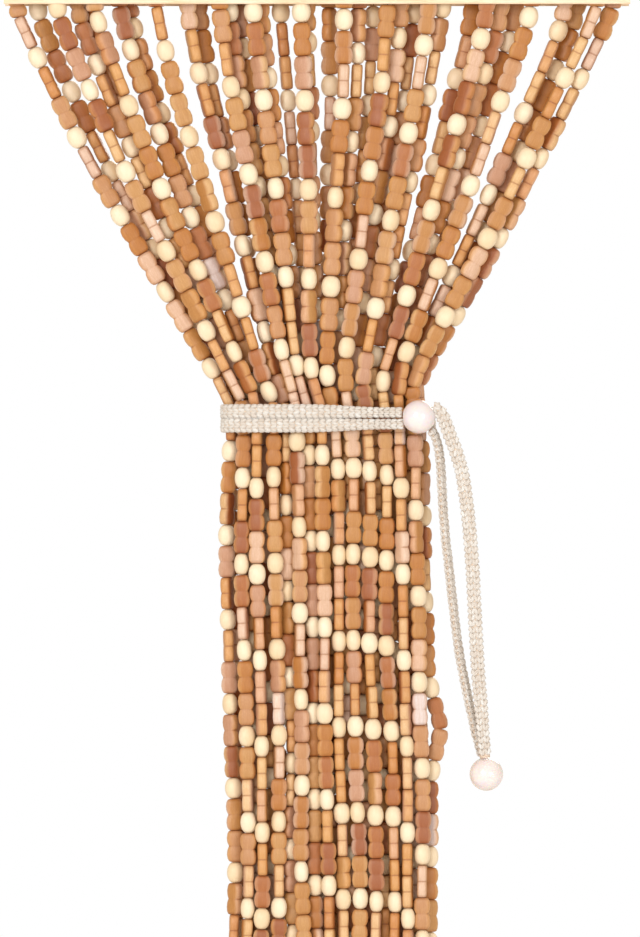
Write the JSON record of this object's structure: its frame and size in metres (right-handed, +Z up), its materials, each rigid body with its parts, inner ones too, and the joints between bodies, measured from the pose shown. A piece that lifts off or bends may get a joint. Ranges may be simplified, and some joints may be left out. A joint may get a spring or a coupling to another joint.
{
  "type": "bead curtain on a rail",
  "caption": "Wooden bead strands hung from a straight rail, drawn together into one bundle by a doubled knitted cord with a pearl slider and pearl-ended tails.",
  "frame": {"origin": "middle of the flat top face of the rail, which meets the lintel or the bracket it hangs from", "axes": "+Z up out of the rail's top face; the strands hang along -Z; X runs along the rail, and the front with the pearl slider faces -Y"},
  "size_m": [0.45, 0.0674, 1.2415],
  "materials": {
    "rail_wood": "pale planed wood with a clear satin coat",
    "bead_wood": "turned wooden beads in caramel and cream, satin lacquer",
    "tie_cord": "flat chain-knitted cream cord with a slight sheen",
    "pearl": "moulded pearl with a glossy lustre coat"
  },
  "bodies": {
    "root": {"rail": "rail_wood", "strands": "bead_wood", "tie_upper": "tie_cord", "tie_lower": "tie_cord", "slider_pearl": "pearl", "tail_right": "tie_cord", "tail_left": "tie_cord", "end_pearl": "pearl"}
  },
  "joints": []
}
